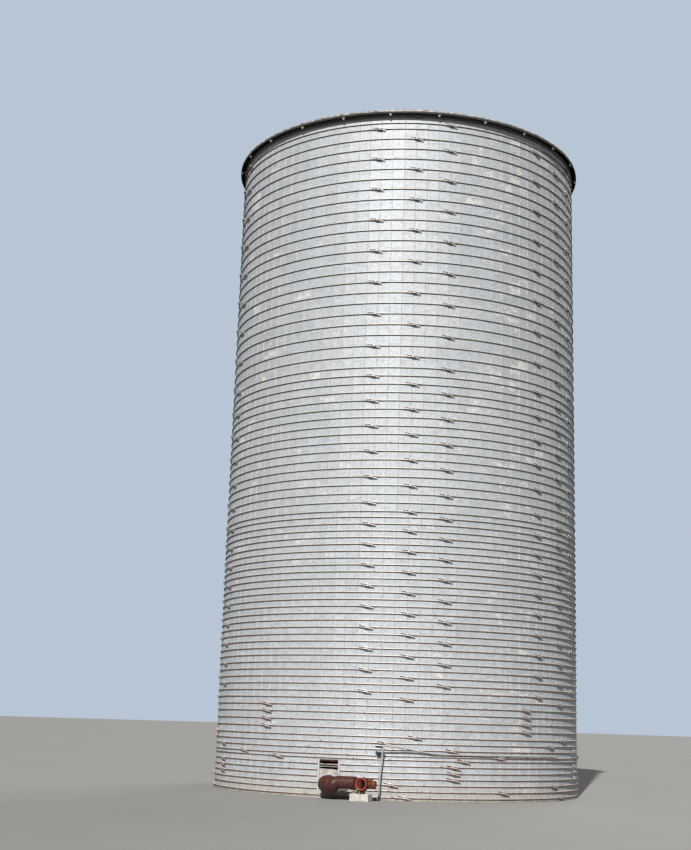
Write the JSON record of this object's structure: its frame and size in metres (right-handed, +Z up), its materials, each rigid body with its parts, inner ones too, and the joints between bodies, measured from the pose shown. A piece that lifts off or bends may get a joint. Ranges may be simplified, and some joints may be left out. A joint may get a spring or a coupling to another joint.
{
  "type": "concrete stave grain silo",
  "caption": "Tall round stave silo with steel hoops, low conical sheet roof, a small barred hatch near the ground and an aeration fan piped into it.",
  "frame": {"origin": "on the ground at the silo's vertical axis, under the middle of the floor slab", "axes": "+Z up along the silo's axis, -Y towards the hatch, +X to the right of the hatch seen from outside"},
  "size_m": [8.946, 9.383, 17.4443],
  "materials": {
    "stave_paint": "concrete staves under weathered aluminium paint",
    "footing_concrete": "rough cast concrete",
    "hoop_steel": "steel rods and cast lugs under aluminium paint, rust showing",
    "roof_sheet": "old galvanised sheet, dull with rust",
    "eave_steel": "painted steel angle, weathered",
    "frame_steel": "steel frame under aluminium paint",
    "rusty_steel": "bare steel, rusted brown and orange",
    "duct_steel": "dark brown paint over sheet steel, rusting",
    "fan_paint": "faded orange red paint with rust",
    "board_wood": "weathered boards with thin paint",
    "box_paint": "dark blue grey enamel, dusty",
    "galvanised_steel": "galvanised tube, dull"
  },
  "bodies": {
    "root": {"wall_over_hatch": "stave_paint", "wall_left_of_hatch": "stave_paint", "wall_right_of_hatch": "stave_paint", "wall_under_hatch": "stave_paint", "wall_segment_2": "stave_paint", "wall_segment_3": "stave_paint", "wall_segment_4": "stave_paint", "wall_segment_5": "stave_paint", "wall_segment_6": "stave_paint", "wall_segment_7": "stave_paint", "wall_segment_8": "stave_paint", "wall_segment_9": "stave_paint", "wall_segment_10": "stave_paint", "roof_panel_1": "roof_sheet", "roof_panel_2": "roof_sheet", "roof_panel_3": "roof_sheet", "roof_panel_4": "roof_sheet", "roof_panel_5": "roof_sheet", "roof_panel_6": "roof_sheet", "roof_panel_7": "roof_sheet", "roof_panel_8": "roof_sheet", "roof_panel_9": "roof_sheet", "roof_panel_10": "roof_sheet", "hoop_01": "hoop_steel", "hoop_13": "hoop_steel", "hoop_25": "hoop_steel", "hoop_37": "hoop_steel", "hoop_49": "hoop_steel", "hoop_61": "hoop_steel", "hoop_73": "hoop_steel", "hoop_85": "hoop_steel", "foundation_slab": "footing_concrete", "roof_cap": "roof_sheet", "eave_ring": "eave_steel", "hatch_frame": "frame_steel", "hatch_bar_upper": "rusty_steel", "hatch_bar_lower": "rusty_steel", "hatch_boards": "board_wood", "hatch_loose_board": "board_wood", "fan_elbow": "duct_steel", "duct_collar": "galvanised_steel", "duct_reducer": "duct_steel", "fan_duct": "duct_steel", "fan_housing": "duct_steel", "inlet_ring": "fan_paint", "fan_motor": "rusty_steel", "motor_terminal_box": "rusty_steel", "fan_block": "footing_concrete", "fan_bearer": "board_wood", "switch_box": "box_paint", "conduit_riser": "galvanised_steel", "conduit_run": "galvanised_steel"}
  },
  "joints": []
}
